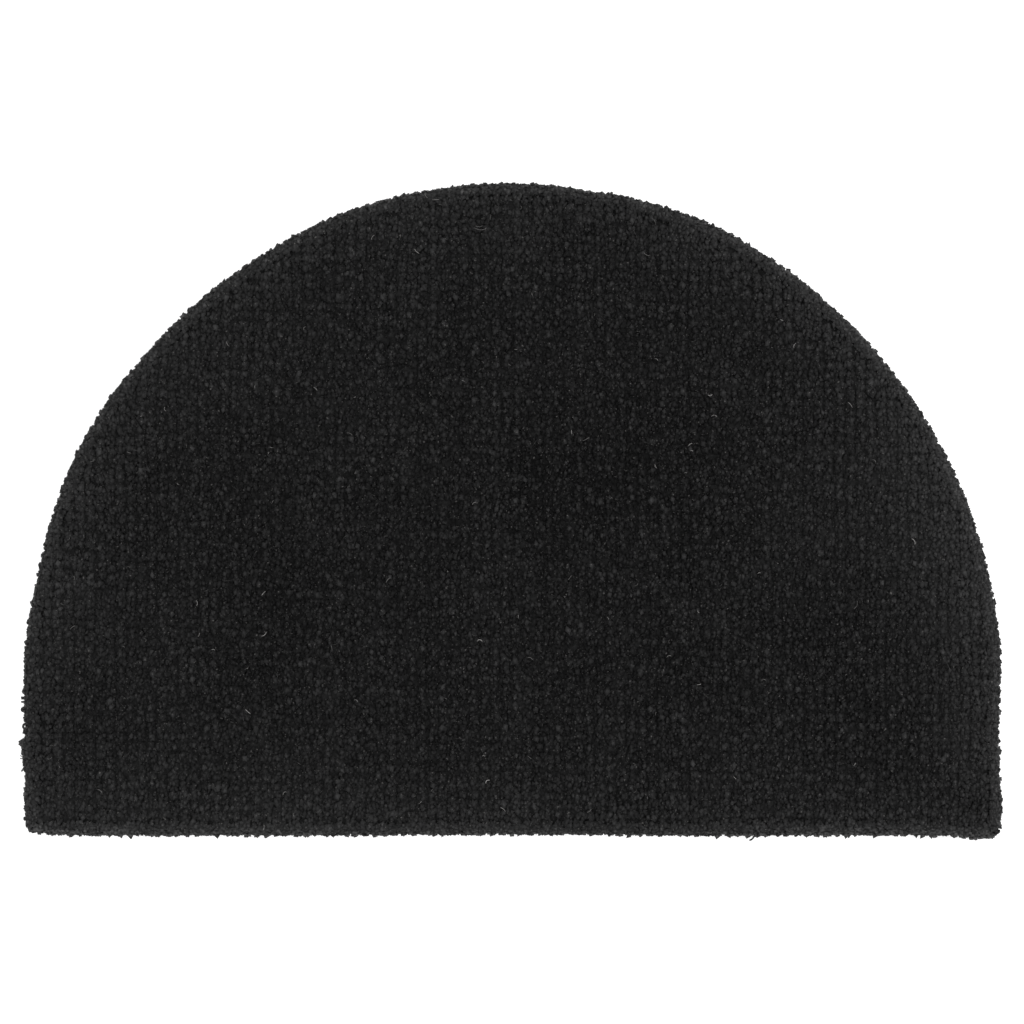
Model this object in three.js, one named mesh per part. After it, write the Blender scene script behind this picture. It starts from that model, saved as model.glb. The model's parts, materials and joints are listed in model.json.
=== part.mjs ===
// Half round doormat: a flat backing with a short brush pile, cut as half a disc on top of a low rectangle.
// Millimetres, +Z up. The straight edge faces -Y and the round one +Y. The origin lies under the
// middle of the mat's bounding box, on the flat underside.
import * as THREE from "three";

// The plain shape that the mat was cut to.
const width = 600;
const depth = 400;
const cornerRadius = 4;
const roundRadius = width / 2;
const frontY = -depth / 2;
const shoulderY = depth / 2 - roundRadius;

// Heights: a thin backing sheet, and the tips of the pile above it.
const backingThickness = 2.5;
const thickness = 15;

// Tufts stand about this far apart along the rim. Each gives the edge one lobe and one notch.
const rimTuftPitch = 6.1;
const rimLobe = 0.5;
const rimNotch = 0.7;
const leastOfLobe = 0.4;
const mostOfLobe = 1.6;

// How the sheared top rises and falls about its mean: slow waves, and a little more at each point.
const meanTop = thickness - 0.7;
const waves = [
  { alongX: 310, alongY: 190, phase: 0.4, height: 0.3 },
  { alongX: -120, alongY: 260, phase: 2.1, height: 0.25 },
  { alongX: 75, alongY: -95, phase: 4.0, height: 0.2 },
];
const tipScatter = 0.25;

// A soft trough where the mat was once folded, a little right of the middle, with a swell on its left.
const trough = { x: 11, halfWidth: 9, depth: 0.8, fromY: -105, toY: 73 };
const swell = { x: -18, halfWidth: 16, height: 0.35 };
const troughFade = 25;

// The knife strayed from the plain shape by a few millimetres. Each row is a place on the edge, measured
// from the front left corner, counter-clockwise as seen from above, and how far out the pile reaches there.
const frontEnd = width;
const sideLength = shoulderY - frontY;
const rightEnd = frontEnd + sideLength;
const roundLength = Math.PI * roundRadius;
const leftStart = rightEnd + roundLength;
const edgeLength = leftStart + sideLength;

const frontStray = [
  { at: 0, out: -1.6 },
  { at: 22, out: -0.2 },
  { at: 150, out: 0.1 },
  { at: 330, out: -0.6 },
  { at: 400, out: 0.1 },
  { at: 540, out: -0.2 },
  { at: 572, out: 0.6 },
  { at: 584, out: 2.2 },
  { at: 594, out: 1.2 },
];
const rightStray = [
  { at: 4, out: -0.4 },
  { at: 14, out: 0.8 },
  { at: 30, out: -0.9 },
  { at: 70, out: -1.2 },
  { at: 92, out: -0.2 },
];
const roundStray = [
  { degrees: 0, out: 0 },
  { degrees: 12, out: -1.6 },
  { degrees: 24, out: -2.4 },
  { degrees: 33, out: -2.7 },
  { degrees: 47, out: -2.3 },
  { degrees: 55, out: -1.2 },
  { degrees: 66, out: 0.6 },
  { degrees: 75, out: 0.1 },
  { degrees: 81, out: -1.1 },
  { degrees: 85, out: -0.2 },
  { degrees: 98, out: 0 },
  { degrees: 110, out: 0.3 },
  { degrees: 117, out: -1.1 },
  { degrees: 125, out: -2 },
  { degrees: 140, out: -2.4 },
  { degrees: 145, out: -1.1 },
  { degrees: 155, out: -0.9 },
  { degrees: 160, out: -2.1 },
  { degrees: 167, out: -3 },
  { degrees: 180, out: -0.4 },
];
const leftStray = [
  { at: 20, out: 0.3 },
  { at: 34, out: -0.3 },
  { at: 46, out: 2 },
  { at: 56, out: -0.4 },
  { at: 66, out: -1.6 },
  { at: 74, out: -0.2 },
  { at: 88, out: -1.4 },
];

const strays = [
  ...frontStray,
  ...rightStray.map(({ at, out }) => ({ at: frontEnd + at, out })),
  ...roundStray.map(({ degrees, out }) => ({ at: rightEnd + (degrees / 180) * roundLength, out })),
  ...leftStray.map(({ at, out }) => ({ at: leftStart + at, out })),
  { at: edgeLength, out: frontStray[0].out },
];

// The wall from the underside up: height, distance inside the pile's reach, share of the tufts' lobes
// that shows, and whether the ring has a point for every lobe and notch or one for each tuft.
const wall = [
  { z: 0, inset: 2, lobes: 0, fine: false },
  { z: backingThickness, inset: 2, lobes: 0, fine: false },
  { z: 8, inset: 0.7, lobes: 0.7, fine: true },
  { z: 12.4, inset: 0, lobes: 1, fine: true },
  { z: 14.3, inset: 1.5, lobes: 0.8, fine: true },
];

// Rings of the underside and the top, each the rim drawn in towards the middle by a share, with one point
// for so many tufts, so that the points stay about as far apart in every direction.
const underside = [
  { share: 0.2, tufts: 8 },
  { share: 0.5, tufts: 4 },
  { share: 0.8, tufts: 2 },
];
const top = [
  { share: 0.975, tufts: 1 },
  { share: 0.94, tufts: 2 },
  { share: 0.89, tufts: 2 },
  { share: 0.84, tufts: 2 },
  { share: 0.79, tufts: 2 },
  { share: 0.74, tufts: 2 },
  { share: 0.69, tufts: 2 },
  { share: 0.62, tufts: 4 },
  { share: 0.54, tufts: 4 },
  { share: 0.46, tufts: 4 },
  { share: 0.38, tufts: 4 },
  { share: 0.3, tufts: 8 },
  { share: 0.22, tufts: 8 },
  { share: 0.14, tufts: 8 },
  { share: 0.07, tufts: 16 },
];
const middle = new THREE.Vector2(0, -15);

// The tufts of the rim are a number that can be halved four times on the way to the middle.
const rimTufts = 16 * Math.round(edgeLength / rimTuftPitch / 16);

const randomSeed = 7;
THREE.MathUtils.seededRandom(randomSeed);
const random = () => THREE.MathUtils.seededRandom();

function plainOutline() {
  const path = new THREE.Path();
  const cornerX = width / 2 - cornerRadius;
  const cornerY = frontY + cornerRadius;
  path.moveTo(-cornerX, frontY);
  path.lineTo(cornerX, frontY);
  path.absarc(cornerX, cornerY, cornerRadius, -Math.PI / 2, 0);
  path.lineTo(width / 2, shoulderY);
  path.absarc(0, shoulderY, roundRadius, 0, Math.PI);
  path.lineTo(-width / 2, cornerY);
  path.absarc(-cornerX, cornerY, cornerRadius, Math.PI, 1.5 * Math.PI);
  return path;
}

// How far the edge strays at a place along it, eased from one row of the table to the next.
function strayAt(along) {
  const next = strays.findIndex((row) => row.at >= along);
  const after = strays[Math.max(next, 1)];
  const before = strays[Math.max(next, 1) - 1];
  const share = THREE.MathUtils.smoothstep(along, before.at, after.at);
  return THREE.MathUtils.lerp(before.out, after.out, share);
}

// Points around the rim, two for each tuft: a lobe and a notch. Each has its outward direction.
function rimPoints() {
  const count = 2 * rimTufts;
  const path = plainOutline();
  const spaced = path.getSpacedPoints(count).slice(0, count);
  return spaced.map((point, i) => {
    const ahead = spaced[(i + 1) % count];
    const behind = spaced[(i + count - 1) % count];
    const along = ahead.clone().sub(behind).normalize();
    const outward = new THREE.Vector2(along.y, -along.x);
    const reach = i % 2 === 0 ? rimLobe : -rimNotch;
    const lobe = reach * THREE.MathUtils.lerp(leastOfLobe, mostOfLobe, random());
    return { point, outward, stray: strayAt((i / count) * edgeLength), lobe };
  });
}

// Height of the sheared top above the underside at a place inside the rim.
function topHeight(x, y) {
  const { smoothstep } = THREE.MathUtils;
  let height = meanTop;
  for (const wave of waves) {
    const turns = x / wave.alongX + y / wave.alongY;
    height += wave.height * Math.sin(2 * Math.PI * turns + wave.phase);
  }
  const fade =
    smoothstep(y, trough.fromY - troughFade, trough.fromY + troughFade) *
    (1 - smoothstep(y, trough.toY - troughFade, trough.toY + troughFade));
  height -= fade * trough.depth * Math.exp(-(((x - trough.x) / trough.halfWidth) ** 2));
  height += fade * swell.height * Math.exp(-(((x - swell.x) / swell.halfWidth) ** 2));
  return height + tipScatter * (2 * random() - 1);
}

function wallRing(rim, { z, inset, lobes, fine }) {
  return rim
    .filter((_, i) => fine || i % 2 === 0)
    .map(({ point, outward, stray, lobe }) => {
      const place = point.clone().addScaledVector(outward, stray - inset + lobes * lobe);
      return new THREE.Vector3(place.x, place.y, z);
    });
}

function drawnInRing(rim, { share, tufts }, heightAt) {
  return rim
    .filter((_, i) => i % (2 * tufts) === 0)
    .map(({ point, outward, stray }) => {
      const place = point.clone().addScaledVector(outward, stray).lerp(middle, 1 - share);
      return new THREE.Vector3(place.x, place.y, heightAt(place.x, place.y));
    });
}

// Skins the rings, from the underside's middle out, up the wall and in over the top to its middle. A ring
// may have as many points as the one before it, twice as many or half as many.
function skin(firstPoint, rings, lastPoint) {
  const vertices = [firstPoint];
  const triangles = [];
  const starts = rings.map((ring) => {
    vertices.push(...ring);
    return vertices.length - ring.length;
  });
  vertices.push(lastPoint);

  const indexIn = (k, i) => starts[k] + (i % rings[k].length);
  for (let i = 0; i < rings[0].length; i++) {
    triangles.push(0, indexIn(0, i + 1), indexIn(0, i));
  }
  for (let k = 1; k < rings.length; k++) {
    const before = rings[k - 1].length;
    const after = rings[k].length;
    for (let i = 0; i < Math.min(before, after); i++) {
      if (before === after) {
        triangles.push(indexIn(k - 1, i), indexIn(k - 1, i + 1), indexIn(k, i + 1));
        triangles.push(indexIn(k - 1, i), indexIn(k, i + 1), indexIn(k, i));
      } else if (before < after) {
        triangles.push(indexIn(k - 1, i), indexIn(k, 2 * i + 1), indexIn(k, 2 * i));
        triangles.push(indexIn(k - 1, i), indexIn(k - 1, i + 1), indexIn(k, 2 * i + 1));
        triangles.push(indexIn(k - 1, i + 1), indexIn(k, 2 * i + 2), indexIn(k, 2 * i + 1));
      } else {
        triangles.push(indexIn(k - 1, 2 * i), indexIn(k - 1, 2 * i + 1), indexIn(k, i));
        triangles.push(indexIn(k - 1, 2 * i + 1), indexIn(k, i + 1), indexIn(k, i));
        triangles.push(indexIn(k - 1, 2 * i + 1), indexIn(k - 1, 2 * i + 2), indexIn(k, i + 1));
      }
    }
  }
  const lastRing = rings.length - 1;
  for (let i = 0; i < rings[lastRing].length; i++) {
    triangles.push(indexIn(lastRing, i), indexIn(lastRing, i + 1), vertices.length - 1);
  }

  const geometry = new THREE.BufferGeometry().setFromPoints(vertices);
  geometry.setIndex(triangles);
  return geometry;
}

function matGeometry() {
  const rim = rimPoints();
  const rings = [
    ...underside.map((ring) => drawnInRing(rim, ring, () => 0)),
    ...wall.map((ring) => wallRing(rim, ring)),
    ...top.map((ring) => drawnInRing(rim, ring, topHeight)),
  ];
  const under = new THREE.Vector3(middle.x, middle.y, 0);
  const over = new THREE.Vector3(middle.x, middle.y, topHeight(middle.x, middle.y));
  const geometry = skin(under, rings, over);

  // The strays move the box's middle by a fraction of a millimetre: it goes back over the origin.
  geometry.computeBoundingBox();
  const centre = geometry.boundingBox.getCenter(new THREE.Vector3());
  geometry.translate(-centre.x, -centre.y, 0);
  geometry.computeVertexNormals();
  return geometry;
}

const blackCoir = new THREE.MeshStandardMaterial({ color: 0x1b1b1b, roughness: 0.95, metalness: 0 });

const mat = new THREE.Mesh(matGeometry(), blackCoir);
mat.name = "coir_mat";

const doormat = new THREE.Group();
doormat.add(mat);

export default doormat;
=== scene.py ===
import json
import math
import random

import bmesh
import bpy
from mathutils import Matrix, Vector, noise

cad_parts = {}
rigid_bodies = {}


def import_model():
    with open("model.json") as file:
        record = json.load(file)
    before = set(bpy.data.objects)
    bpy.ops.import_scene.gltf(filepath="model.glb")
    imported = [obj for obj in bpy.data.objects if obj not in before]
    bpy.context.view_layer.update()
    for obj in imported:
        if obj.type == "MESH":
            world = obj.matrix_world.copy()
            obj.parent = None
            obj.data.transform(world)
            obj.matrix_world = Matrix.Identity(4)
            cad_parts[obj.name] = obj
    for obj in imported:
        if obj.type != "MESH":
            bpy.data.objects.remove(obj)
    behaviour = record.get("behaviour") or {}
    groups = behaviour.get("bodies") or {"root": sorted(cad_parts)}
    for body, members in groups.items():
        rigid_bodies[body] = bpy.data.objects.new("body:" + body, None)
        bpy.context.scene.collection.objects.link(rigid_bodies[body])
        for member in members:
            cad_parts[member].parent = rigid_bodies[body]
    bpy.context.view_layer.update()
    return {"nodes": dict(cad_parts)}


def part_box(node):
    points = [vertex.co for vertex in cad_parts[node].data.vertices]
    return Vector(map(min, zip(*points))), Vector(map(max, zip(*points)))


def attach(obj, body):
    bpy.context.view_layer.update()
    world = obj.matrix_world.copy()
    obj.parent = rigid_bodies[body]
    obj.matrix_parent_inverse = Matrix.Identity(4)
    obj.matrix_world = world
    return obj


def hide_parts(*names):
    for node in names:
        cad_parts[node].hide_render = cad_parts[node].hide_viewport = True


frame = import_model()
slab = frame["nodes"]["coir_mat"]
slabLow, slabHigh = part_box("coir_mat")
mm = 0.001
level = 0.9  # a face is level if its normal points this far up or down


class Wire:  # a socket of a node tree; sums on it add Math nodes
    def __init__(self, graph, socket):
        self.graph = graph
        self.socket = socket

    def __add__(self, other):
        return self.graph.maths("ADD", self, other)

    def __radd__(self, other):
        return self.graph.maths("ADD", other, self)

    def __sub__(self, other):
        return self.graph.maths("SUBTRACT", self, other)

    def __rsub__(self, other):
        return self.graph.maths("SUBTRACT", other, self)

    def __mul__(self, other):
        return self.graph.maths("MULTIPLY", self, other)

    def __rmul__(self, other):
        return self.graph.maths("MULTIPLY", other, self)

    def __truediv__(self, other):
        return self.graph.maths("DIVIDE", self, other)

    def __rtruediv__(self, other):
        return self.graph.maths("DIVIDE", other, self)

    def __pow__(self, other):
        return self.graph.maths("POWER", self, other)

    def __rpow__(self, other):
        return self.graph.maths("POWER", other, self)

    def __neg__(self):
        return self.graph.maths("MULTIPLY", self, -1.0)

    def __lt__(self, other):
        return self.graph.maths("LESS_THAN", self, other)

    def __gt__(self, other):
        return self.graph.maths("GREATER_THAN", self, other)

    def out(self, name):  # another output of the node that this wire leaves
        return Wire(self.graph, self.socket.node.outputs[name])


class Graph:  # builds the nodes of a material or of a Geometry Nodes tree
    def __init__(self, tree):
        self.tree = tree

    def add(self, kind, settings=None, values=None, output=0):
        node = self.tree.nodes.new(kind)
        for name, value in (settings or {}).items():
            setattr(node, name, value)
        for key, value in (values or {}).items():
            for wire in value if isinstance(value, list) else [value]:
                if isinstance(wire, Wire):
                    self.tree.links.new(wire.socket, node.inputs[key])
                else:
                    node.inputs[key].default_value = wire
        return Wire(self, node.outputs[output]) if node.outputs else node

    def maths(self, operation, *numbers):
        return self.add("ShaderNodeMath", {"operation": operation}, dict(enumerate(numbers)))

    def fade(self, distance):  # 1 at no distance, and ever less further off
        return self.maths("EXPONENT", -distance)

    def vector(self, operation, first, second=None, scale=None):
        values = {0: first}
        if second is not None:
            values[1] = second
        if scale is not None:
            values["Scale"] = scale
        kind = "Value" if operation == "DISTANCE" else "Vector"
        return self.add("ShaderNodeVectorMath", {"operation": operation}, values, kind)

    def join(self, x, y, z):
        return self.add("ShaderNodeCombineXYZ", {}, {0: x, 1: y, 2: z})

    def split(self, vector):
        parts = self.add("ShaderNodeSeparateXYZ", {}, {0: vector}, "X")
        return parts, parts.out("Y"), parts.out("Z")

    def ramp(self, value, low, high, atLow, atHigh):
        return self.add("ShaderNodeMapRange", {"interpolation_type": "SMOOTHSTEP"}, {
            "Value": value, "From Min": low, "From Max": high, "To Min": atLow, "To Max": atHigh,
        })

    def noise(self, where, scale, detail, output=0):
        return self.add("ShaderNodeTexNoise", {}, {"Vector": where, "Scale": scale, "Detail": detail}, output)


class Paint(Graph):  # a material with one shader
    def __init__(self, name):
        self.material = bpy.data.materials.new(name)
        self.material.use_nodes = True
        self.material.node_tree.nodes.clear()
        super().__init__(self.material.node_tree)

    def place(self):
        return self.add("ShaderNodeTexCoord", {}, {}, "Object")

    def noted(self, name):  # an attribute of the piece's mesh
        return self.add("ShaderNodeAttribute", {"attribute_name": name}, {}, "Fac")

    def mix(self, share, first, second):
        return self.add("ShaderNodeMix", {"data_type": "RGBA"}, {0: share, 6: first, 7: second}, 2)

    def bump(self, strength, depth, height):
        return self.add("ShaderNodeBump", {}, {"Strength": strength, "Distance": depth, "Height": height})

    def finish(self, colour, roughness, shine, others=None):
        shader = self.add("ShaderNodeBsdfPrincipled", {}, {
            "Base Color": colour, "Roughness": roughness, "Specular IOR Level": shine, **(others or {}),
        })
        self.add("ShaderNodeOutputMaterial", {}, {"Surface": shader})
        return self.material


class Recipe(Graph):  # a Geometry Nodes tree with named inputs, which plants forms
    def __init__(self, name, inputs):
        super().__init__(bpy.data.node_groups.new(name, "GeometryNodeTree"))
        face = self.tree.interface
        face.new_socket(name="Geometry", in_out="OUTPUT", socket_type="NodeSocketGeometry")
        always = {"Geometry": "Geometry", "Forms": "Collection", "Material": "Material"}
        self.sockets = {}
        for label, kind in {**always, **inputs}.items():
            self.sockets[label] = face.new_socket(name=label, in_out="INPUT", socket_type="NodeSocket" + kind)
        self.start = self.tree.nodes.new("NodeGroupInput")
        self.end = self.tree.nodes.new("NodeGroupOutput")

    def given(self, label):
        return Wire(self, self.start.outputs[label])

    def random(self, kind, seed, values, output):
        return self.add("FunctionNodeRandomValue", {"data_type": kind}, {**values, "Seed": seed}, output)

    def chance(self, seed, low=0.0, high=1.0):
        return self.random("FLOAT", seed, {2: low, 3: high}, 1)

    def choice(self, seed, count):  # a whole number from 0 up to below the count
        return self.random("INT", seed, {4: 0, 5: count - 1}, 2)

    def scatter(self, seed, reach):  # a vector, up to reach on each axis
        return self.random("FLOAT_VECTOR", seed, {0: tuple(-part for part in reach), 1: reach}, 0)

    def place(self):
        return self.add("GeometryNodeInputPosition")

    def upward(self):  # 1 on a face that looks straight up, -1 on one that looks down
        return self.split(self.add("GeometryNodeInputNormal"))[2]

    def faces(self, geometry, which):
        values = {"Geometry": geometry, "Selection": which}
        return self.add("GeometryNodeSeparateGeometry", {"domain": "FACE"}, values)

    def drop(self, points, which):
        values = {"Geometry": points, "Selection": which}
        return self.add("GeometryNodeDeleteGeometry", {"domain": "POINT"}, values)

    def move(self, geometry, offset):
        return self.add("GeometryNodeSetPosition", {}, {"Geometry": geometry, "Offset": offset})

    def note(self, geometry, name, value, kind="FLOAT", domain="POINT"):
        return self.add(
            "GeometryNodeStoreNamedAttribute", {"data_type": kind, "domain": domain},
            {"Geometry": geometry, "Name": name, "Value": value},
        )

    def noteAll(self, geometry, values):
        for name, value in values.items():
            geometry = self.note(geometry, name, value)
        return geometry

    def noted(self, name, kind="FLOAT"):
        return self.add("GeometryNodeInputNamedAttribute", {"data_type": kind}, {"Name": name})

    def number(self, points):  # each point gets a cell of the map
        return self.note(points, "cell", self.add("GeometryNodeInputIndex"), "INT")

    def facing(self, way):  # the turn that points a form's own length this way
        return self.add("FunctionNodeAlignRotationToVector", {"axis": "Z"}, {"Vector": way})

    def plant(self, points, values):  # a form on every point
        forms = self.add("GeometryNodeCollectionInfo", {}, {
            "Collection": self.given("Forms"), "Separate Children": True, "Reset Children": True,
        })
        return self.add("GeometryNodeInstanceOnPoints", {}, {
            "Points": points, "Instance": forms, "Pick Instance": True, **values,
        })

    def layOut(self, points, grown):  # a map with one square cell for each instance, drawn flat in it
        whole = self.add("GeometryNodeRealizeInstances", {}, {"Geometry": grown})
        size = self.add("GeometryNodeAttributeDomainSize", {"component": "POINTCLOUD"}, {"Geometry": points})
        cells = self.maths("CEIL", self.maths("SQRT", size.out("Point Count")))
        cell = self.noted("cell", "INT")
        row = self.maths("FLOOR", (cell + 0.5) / cells)
        corner = self.join(cell - row * cells, row, 0.0)
        onMap = self.vector("ADD", corner, self.noted("plan", "FLOAT_VECTOR"))
        return self.note(whole, "OFBake", self.vector("SCALE", onMap, scale=1.0 / cells), "FLOAT2", "CORNER")

    def finish(self, geometry, scratch=()):  # without the attributes that only the tree itself reads
        for name in scratch:
            geometry = self.add("GeometryNodeRemoveAttribute", {}, {"Geometry": geometry, "Name": name})
        whole = self.add("GeometryNodeRealizeInstances", {}, {"Geometry": geometry})
        values = {"Geometry": whole, "Material": self.given("Material")}
        done = self.add("GeometryNodeSetMaterial", {}, values)
        self.tree.links.new(done.socket, self.end.inputs[0])

    def run(self, name, mesh, values):  # the plain mesh that the tree makes of a mesh
        piece = bpy.data.objects.new(name, mesh)
        bpy.context.scene.collection.objects.link(piece)
        nodes = piece.modifiers.new(name, "NODES")
        nodes.node_group = self.tree
        for label, value in values.items():
            nodes[self.sockets[label].identifier] = value
        depsgraph = bpy.context.evaluated_depsgraph_get()
        made = bpy.data.meshes.new_from_object(piece.evaluated_get(depsgraph), depsgraph=depsgraph)
        piece.modifiers.clear()
        piece.data = made
        made.name = name
        print(name, len(made.polygons), "faces")
        return piece


def meshOf(name, shape):  # the plain mesh of a bmesh that is finished with
    data = bpy.data.meshes.new(name)
    shape.to_mesh(data)
    shape.free()
    return data


def makePiece(name, shape, material):
    data = meshOf(name, shape)
    piece = bpy.data.objects.new(name, data)
    bpy.context.scene.collection.objects.link(piece)
    data.materials.append(material)
    print(name, len(data.polygons), "faces")
    return piece


def mergedSlab():  # the CAD node's triangles, joined up
    shape = bmesh.new()
    shape.from_mesh(slab.data)
    bmesh.ops.remove_doubles(shape, verts=shape.verts, dist=0.001 * mm)
    return shape


# Camera: straight above, with the mat at the photograph's size and place
cameraSizes = {
    "lens": 85,
    "sensor": 36,
    "frameWidth": 0.6282,  # what the picture spans at the height of the tips
    "aimX": 0.0004,
    "aimY": -0.0005,
    "farthest": 20,
}


def makeCamera(sizes):
    camera = bpy.data.objects.new("camera", bpy.data.cameras.new("camera"))
    bpy.context.scene.collection.objects.link(camera)
    camera.data.lens = sizes["lens"]
    camera.data.sensor_width = sizes["sensor"]
    camera.data.clip_end = sizes["farthest"]
    away = sizes["frameWidth"] * sizes["lens"] / sizes["sensor"]
    camera.location = (sizes["aimX"], sizes["aimY"], slabHigh[2] + away)
    camera.rotation_euler = (0, 0, 0)
    bpy.context.scene.camera = camera


# Material of the pile: black fibres, greyer at random, with painted light at the rim and on the cut ends,
# painted light and shade beside the crease, dust and a few pale flecks
pileLook = {
    "black": (0.0040, 0.0040, 0.0041, 1),
    "greyest": (0.0320, 0.0320, 0.0323, 1),
    # the colour of dust on a few fibre ends, and of the painted light at the very rim
    "dust": (0.062, 0.062, 0.062, 1),
    "fleck": (0.075, 0.073, 0.070, 1),
    "fibreScale": 2600,
    "clumpScale": 620,
    "patchScale": 9.0,
    "fleckScale": 900,
    "drawnOut": 0.14,  # fibres run up the tuft, so they change this much slower that way
    "toneAndLightShares": {  # what each adds, from 0 for black to 1 for the greyest: partly random tone, partly painted light and shade
        "lock": 0.42,
        # painted top light on the cut end of each lock, more on the paler locks
        "lockTipLight": 0.36,
        "clumps": 0.28,
        "fibres": 0.11,
        "patches": 0.28,
        # painted top light on every cut end
        "tip": 0.05,
        # painted light at the rim
        "edge": 0.4,
        "all": -0.41,
        "nap": -0.045,  # painted shade to the right of the crease, where the pile lies the other way
    },
    "napFade": 30 * mm,
    "softPatches": [  # soft patches left lighter, or darker, than the rest; the lightest, on the right, is painted light
        {"x": 280 * mm, "y": -5 * mm, "wide": 85 * mm, "deep": 80 * mm, "light": 0.16},
        {"x": -165 * mm, "y": -75 * mm, "wide": 75 * mm, "deep": 95 * mm, "light": 0.045},
        {"x": -270 * mm, "y": -200 * mm, "wide": 110 * mm, "deep": 45 * mm, "light": 0.055},
        {"x": -230 * mm, "y": 60 * mm, "wide": 60 * mm, "deep": 70 * mm, "light": -0.05},
        {"x": 35 * mm, "y": 190 * mm, "wide": 55 * mm, "deep": 50 * mm, "light": -0.09},
    ],
    # noise in the dust and in the painted light at the very rim
    "dustAndRimLightNoise": {"fibres": 1.6, "clumps": 3.0, "all": -1.65},
    "flecks": {"from": 0.68, "to": 0.75, "low": 0.35, "high": 0.97},  # of the noise, and of the slab's height
    "roughness": 0.95,
    "smoother": 0.2,  # in the palest locks
    "shine": 0.08,
    "bump": 0.9,
    "bumpDepth": 0.3 * mm,
}


def makePileMaterial(look):
    paint = Paint("black_pile")
    here = paint.place()
    x, y, z = paint.split(here)
    # tip carries the painted top light, edge the painted light at the rim, and the last the dust and the
    # painted light at the very rim
    tone, tip, edge, dust = [paint.noted(name) for name in ("tone", "tip", "edge", "dust")]
    drawn = paint.join(x, y, z * look["drawnOut"])
    fibres = paint.noise(drawn, look["fibreScale"], detail=3.0)
    clumps = paint.noise(drawn, look["clumpScale"], detail=0.0)
    patches = paint.noise(here, look["patchScale"], detail=2.0)
    specks = paint.noise(here, look["fleckScale"], detail=1.0)
    crown = tip * tip
    toneAndLightShares = look["toneAndLightShares"]
    # crown: where the painted top light goes, on the cut ends
    light = tone * (toneAndLightShares["lock"] + crown * toneAndLightShares["lockTipLight"]) + clumps * toneAndLightShares["clumps"]
    light = light + fibres * toneAndLightShares["fibres"] + patches * toneAndLightShares["patches"]
    # painted top light on every cut end, and painted light at the rim
    light = light + crown * toneAndLightShares["tip"] + edge * toneAndLightShares["edge"]
    # painted shade to the right of the crease, where the pile lies the other way
    light = light + paint.ramp(x, 0.0, look["napFade"], toneAndLightShares["all"], toneAndLightShares["all"] + toneAndLightShares["nap"])
    # soft patches; the lightest, on the right, is painted light
    for patch in look["softPatches"]:
        across, along = (x - patch["x"]) / patch["wide"], (y - patch["y"]) / patch["deep"]
        light = light + paint.fade(across * across + along * along) * patch["light"]
    body = paint.mix(light, look["black"], look["greyest"])
    dustAndRimLightNoise = look["dustAndRimLightNoise"]
    # dust on a few fibre ends, and painted light at the very rim
    dustAndRimLightShare = dust * (fibres * dustAndRimLightNoise["fibres"] + clumps * dustAndRimLightNoise["clumps"] + dustAndRimLightNoise["all"])
    body = paint.mix(dustAndRimLightShare, body, look["dust"])
    flecks = look["flecks"]
    rise = paint.ramp(z, slabHigh[2] * flecks["low"], slabHigh[2] * flecks["high"], 0.0, 1.0)
    isFleck = paint.ramp(specks, flecks["from"], flecks["to"], 0.0, 1.0) * rise
    colour = paint.mix(isFleck, body, look["fleck"])
    return paint.finish(colour, look["roughness"] - tone * look["smoother"], look["shine"], {
        "Normal": paint.bump(look["bump"], look["bumpDepth"], fibres),
    })


# Material of the backing: smooth and dark, with the print of the cloth that it was rolled on
backingLook = {
    "black": (0.006, 0.006, 0.0062, 1),
    "grey": (0.013, 0.013, 0.0135, 1),
    "grainScale": 1400,
    "cloudScale": 14.0,
    "greyShares": {"grain": 0.5, "clouds": 0.7, "all": -0.1},
    "clothPitch": 1.6 * mm,
    "bumps": {"grain": 0.4, "cloth": 0.6},
    "bump": 0.5,
    "bumpDepth": 0.3 * mm,
    "roughness": 0.62,
    "rougher": 0.2,  # with the grain
    "shine": 0.2,
}


def makeBackingMaterial(look):
    paint = Paint("black_backing")
    here = paint.place()
    x, y = paint.split(here)[:2]
    grain = paint.noise(here, look["grainScale"], detail=4.0)
    clouds = paint.noise(here, look["cloudScale"], detail=3.0)
    turn = 2 * math.pi / look["clothPitch"]
    cloth = paint.maths("SINE", x * turn) * paint.maths("SINE", y * turn)
    shares, bumps = look["greyShares"], look["bumps"]
    grey = grain * shares["grain"] + clouds * shares["clouds"] + shares["all"]
    height = grain * bumps["grain"] + cloth * bumps["cloth"]
    colour = paint.mix(grey, look["black"], look["grey"])
    return paint.finish(colour, look["roughness"] + grain * look["rougher"], look["shine"], {
        "Normal": paint.bump(look["bump"], look["bumpDepth"], height),
    })


# Material of the lint and the stray fibres: dark to pale, by the tone of each
lintLook = {
    "dark": (0.016, 0.016, 0.016, 1),
    "pale": (0.36, 0.35, 0.34, 1),
    "grainScale": 900.0,
    "uneven": 0.4,
    "roughness": 0.6,
    "rougher": 0.3,
    "shine": 0.15,
}


def makeLintMaterial(look):
    paint = Paint("pale_lint")
    grain = paint.noise(paint.place(), look["grainScale"], detail=1.0)
    pale = paint.noted("tone") + grain * look["uneven"] - look["uneven"] / 2
    colour = paint.mix(pale, look["dark"], look["pale"])
    return paint.finish(colour, look["roughness"] + grain * look["rougher"], look["shine"])


# Backing: a thin flat sheet in the outline of the mat's underside
backingSizes = {
    "thickness": 2.5 * mm,
    "bevel": 0.3 * mm,
}


def undersideRim():  # the points around the flat underside, counter-clockwise from above
    shape = mergedSlab()
    shape.normal_update()
    rim = set()
    for edge in shape.edges:
        down = [face.normal.z < -level for face in edge.link_faces]
        if len(down) == 2 and down[0] != down[1]:
            rim.update(edge.verts)
    points = sorted((v.co.copy() for v in rim), key=lambda p: math.atan2(p.y, p.x))
    shape.free()
    return points


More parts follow.
